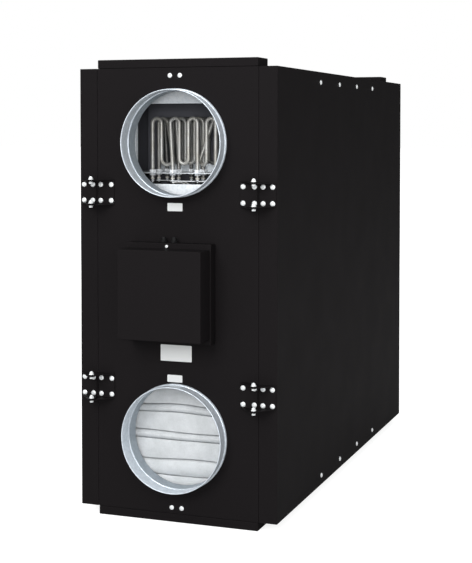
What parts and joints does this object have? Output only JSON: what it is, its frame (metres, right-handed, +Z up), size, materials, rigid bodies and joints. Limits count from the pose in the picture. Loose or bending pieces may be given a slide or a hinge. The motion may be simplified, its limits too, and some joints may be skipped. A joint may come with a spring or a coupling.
{
  "type": "air handling unit",
  "caption": "Upright black air handling unit with hinged side doors, round duct spigots at both ends, a control box, an electric heater and pocket filters.",
  "frame": {"origin": "on the floor under the middle of the unit's overall box", "axes": "+Z up, -Y out of the front end that has the control box, +X to the right when facing that end"},
  "size_m": [0.5, 1.384, 1.096],
  "materials": {
    "black_powder_coat": "satin black powder coat",
    "galvanised_steel": "bright hot-dip galvanised sheet",
    "stainless_tube": "dull stainless heater tube",
    "filter_fleece": "off-white needled fleece",
    "dark_grey_paint": "dark grey enamel",
    "aluminium_foil": "bright aluminium plates",
    "black_nylon": "moulded black nylon"
  },
  "bodies": {
    "cabinet": {"front_panel": "black_powder_coat", "rear_panel": "black_powder_coat", "top_panel": "black_powder_coat", "bottom_panel": "black_powder_coat", "top_rail_front": "black_powder_coat", "top_rail_rear": "black_powder_coat", "bottom_rail_front": "black_powder_coat", "bottom_rail_rear": "black_powder_coat", "spigot_front_upper": "galvanised_steel", "spigot_front_lower": "galvanised_steel", "spigot_rear_upper": "galvanised_steel", "spigot_rear_lower": "galvanised_steel", "control_box_base": "black_powder_coat", "control_box_lid": "black_powder_coat", "cable_gland_left": "black_nylon", "cable_gland_right": "black_nylon", "exchanger_core": "aluminium_foil", "front_divider": "galvanised_steel", "rear_divider": "galvanised_steel", "top_divider": "galvanised_steel", "bottom_divider": "galvanised_steel", "filter_frame_front": "galvanised_steel", "filter_frame_rear": "galvanised_steel", "filter_fleece_front": "filter_fleece", "filter_fleece_rear": "filter_fleece", "supply_fan": "dark_grey_paint", "exhaust_fan": "dark_grey_paint", "heater_frame": "galvanised_steel", "heater_plate": "galvanised_steel", "heater_element_left_loop": "stainless_tube", "heater_element_middle_front": "stainless_tube", "heater_element_middle_back": "stainless_tube", "heater_element_middle_loop": "stainless_tube", "heater_element_right_front": "stainless_tube", "heater_element_right_back": "stainless_tube", "heater_element_rear_left": "stainless_tube", "heater_element_rear_middle": "stainless_tube", "heater_element_rear_right": "stainless_tube", "hinge_panel_leaf_front_left_upper": "black_powder_coat", "hinge_panel_leaf_front_left_lower": "black_powder_coat", "hinge_panel_leaf_front_right_upper": "black_powder_coat", "hinge_panel_leaf_front_right_lower": "black_powder_coat", "hinge_panel_leaf_rear_left_upper": "black_powder_coat", "hinge_panel_leaf_rear_left_lower": "black_powder_coat", "hinge_panel_leaf_rear_right_upper": "black_powder_coat", "hinge_panel_leaf_rear_right_lower": "black_powder_coat"},
    "door_left": {"door_left_skin": "black_powder_coat", "door_left_liner": "black_powder_coat", "hinge_door_leaf_front_left_upper": "black_powder_coat", "hinge_door_leaf_front_left_lower": "black_powder_coat", "hinge_door_leaf_rear_left_upper": "black_powder_coat", "hinge_door_leaf_rear_left_lower": "black_powder_coat"},
    "door_right": {"door_right_skin": "black_powder_coat", "door_right_liner": "black_powder_coat", "hinge_door_leaf_front_right_upper": "black_powder_coat", "hinge_door_leaf_front_right_lower": "black_powder_coat", "hinge_door_leaf_rear_right_upper": "black_powder_coat", "hinge_door_leaf_rear_right_lower": "black_powder_coat"}
  },
  "joints": [
    {"name": "door_left_hinge", "type": "hinge", "parent": "cabinet", "child": "door_left", "pos_m": [-0.205, -0.64, 0.548], "axis": [0, 0, 1], "range_deg": [0, 110]},
    {"name": "door_right_hinge", "type": "hinge", "parent": "cabinet", "child": "door_right", "pos_m": [0.205, -0.64, 0.548], "axis": [0, 0, -1], "range_deg": [0, 110]}
  ]
}
